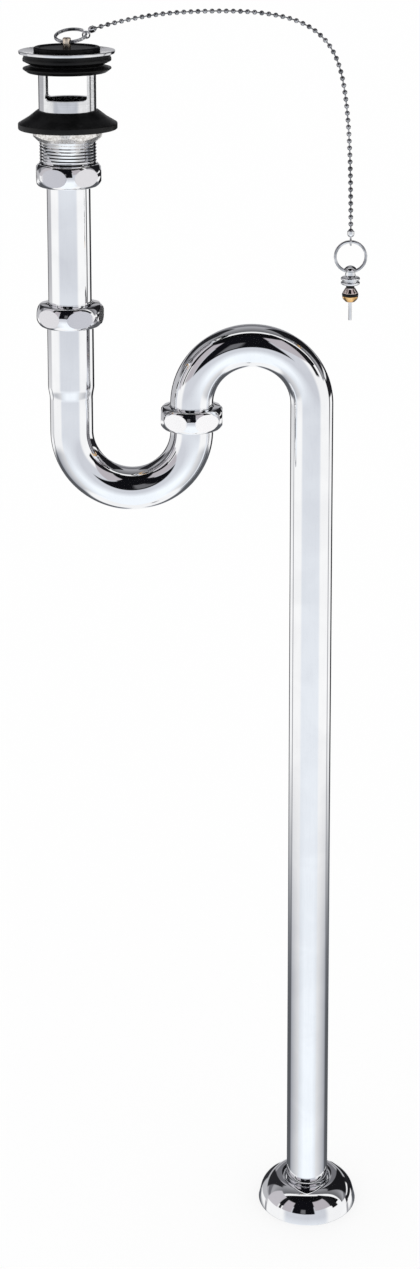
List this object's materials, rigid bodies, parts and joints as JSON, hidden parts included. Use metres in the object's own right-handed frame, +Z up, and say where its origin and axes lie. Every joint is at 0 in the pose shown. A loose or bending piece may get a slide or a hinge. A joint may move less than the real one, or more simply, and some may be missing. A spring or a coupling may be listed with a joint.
{
  "type": "floor s-trap with plug and chain",
  "caption": "Chromed washbasin S-trap with a windowed drain, rubber plug on a bead chain, slip-nut U-bend, S-bend, long down pipe and domed floor cover.",
  "frame": {"origin": "on the drain's axis, on the underside of its flange, where the basin's deck seats", "axes": "+Z up the drain's axis, +X towards the down pipe, +Y towards the wall"},
  "size_m": [0.2536, 0.076, 0.9421],
  "materials": {
    "tube_chrome": "bright chrome plate on drawn brass tube",
    "nut_chrome": "bright chrome plate on turned brass",
    "satin_chrome": "chrome plate, satin below the flange",
    "pale_chrome": "pale nickel-chrome plate",
    "ring_chrome": "bright plated wire and turned stud",
    "chain_chrome": "bright plated bead chain",
    "turned_brass": "turned bare brass",
    "black_rubber": "smooth moulded black rubber",
    "plug_rubber": "glossy moulded black rubber",
    "pale_plastic": "pale slip plastic"
  },
  "bodies": {
    "drain": {"drain_body": "satin_chrome", "flange_packing": "black_rubber", "cone_gasket": "black_rubber", "slip_washer": "pale_plastic", "lock_nut": "pale_chrome", "tail_nut": "nut_chrome", "tail_packing": "black_rubber", "tailpiece": "tube_chrome"},
    "inlet_joint": {"inlet_slip_nut": "nut_chrome", "inlet_slip_ring": "pale_plastic", "inlet_packing": "black_rubber"},
    "trap": {"j_bend": "tube_chrome", "inlet_ferrule": "turned_brass", "outlet_ferrule": "turned_brass", "outlet_slip_nut": "nut_chrome", "outlet_slip_ring": "pale_plastic", "outlet_packing": "black_rubber"},
    "outlet": {"s_pipe": "tube_chrome"},
    "floor_cover": {"escutcheon": "tube_chrome"},
    "plug": {"plug_stopper": "plug_rubber", "plug_washer": "turned_brass", "plug_post": "turned_brass", "plug_ring": "ring_chrome", "chain_top_coupling": "chain_chrome", "bead_chain": "chain_chrome", "chain_end_coupling": "chain_chrome"},
    "station_ring": {"stud_ring": "ring_chrome"},
    "station_stud": {"chain_stud": "ring_chrome", "stud_washer": "black_rubber", "stud_cone": "turned_brass", "stud_seal": "black_rubber", "stud_nut": "turned_brass"}
  },
  "joints": [
    {"name": "plug_lift", "type": "slide", "parent": "drain", "child": "plug", "axis": [0, 0, 1], "range_m": [0, 0.05]},
    {"name": "trap_height", "type": "slide", "parent": "drain", "child": "inlet_joint", "axis": [0, 0, 1], "range_m": [-0.015, 0.022]},
    {"name": "trap_swivel", "type": "hinge", "parent": "inlet_joint", "child": "trap", "pos_m": [0, 0, -0.192], "axis": [0, 0, 1], "continuous": true},
    {"name": "outlet_swivel", "type": "hinge", "parent": "trap", "child": "outlet", "pos_m": [0.089, 0, -0.27], "axis": [0, 0, 1], "range_deg": [-140, 140]},
    {"name": "escutcheon_slide", "type": "slide", "parent": "outlet", "child": "floor_cover", "axis": [0, 0, 1], "range_m": [0, 0.53]},
    {"name": "ring_swing", "type": "hinge", "parent": "plug", "child": "station_ring", "pos_m": [0.2056, 0, -0.1382], "axis": [1, 0, 0], "range_deg": [-60, 60]},
    {"name": "stud_swing", "type": "hinge", "parent": "station_ring", "child": "station_stud", "pos_m": [0.2056, 0, -0.1606], "axis": [1, 0, 0], "range_deg": [-70, 70]}
  ]
}
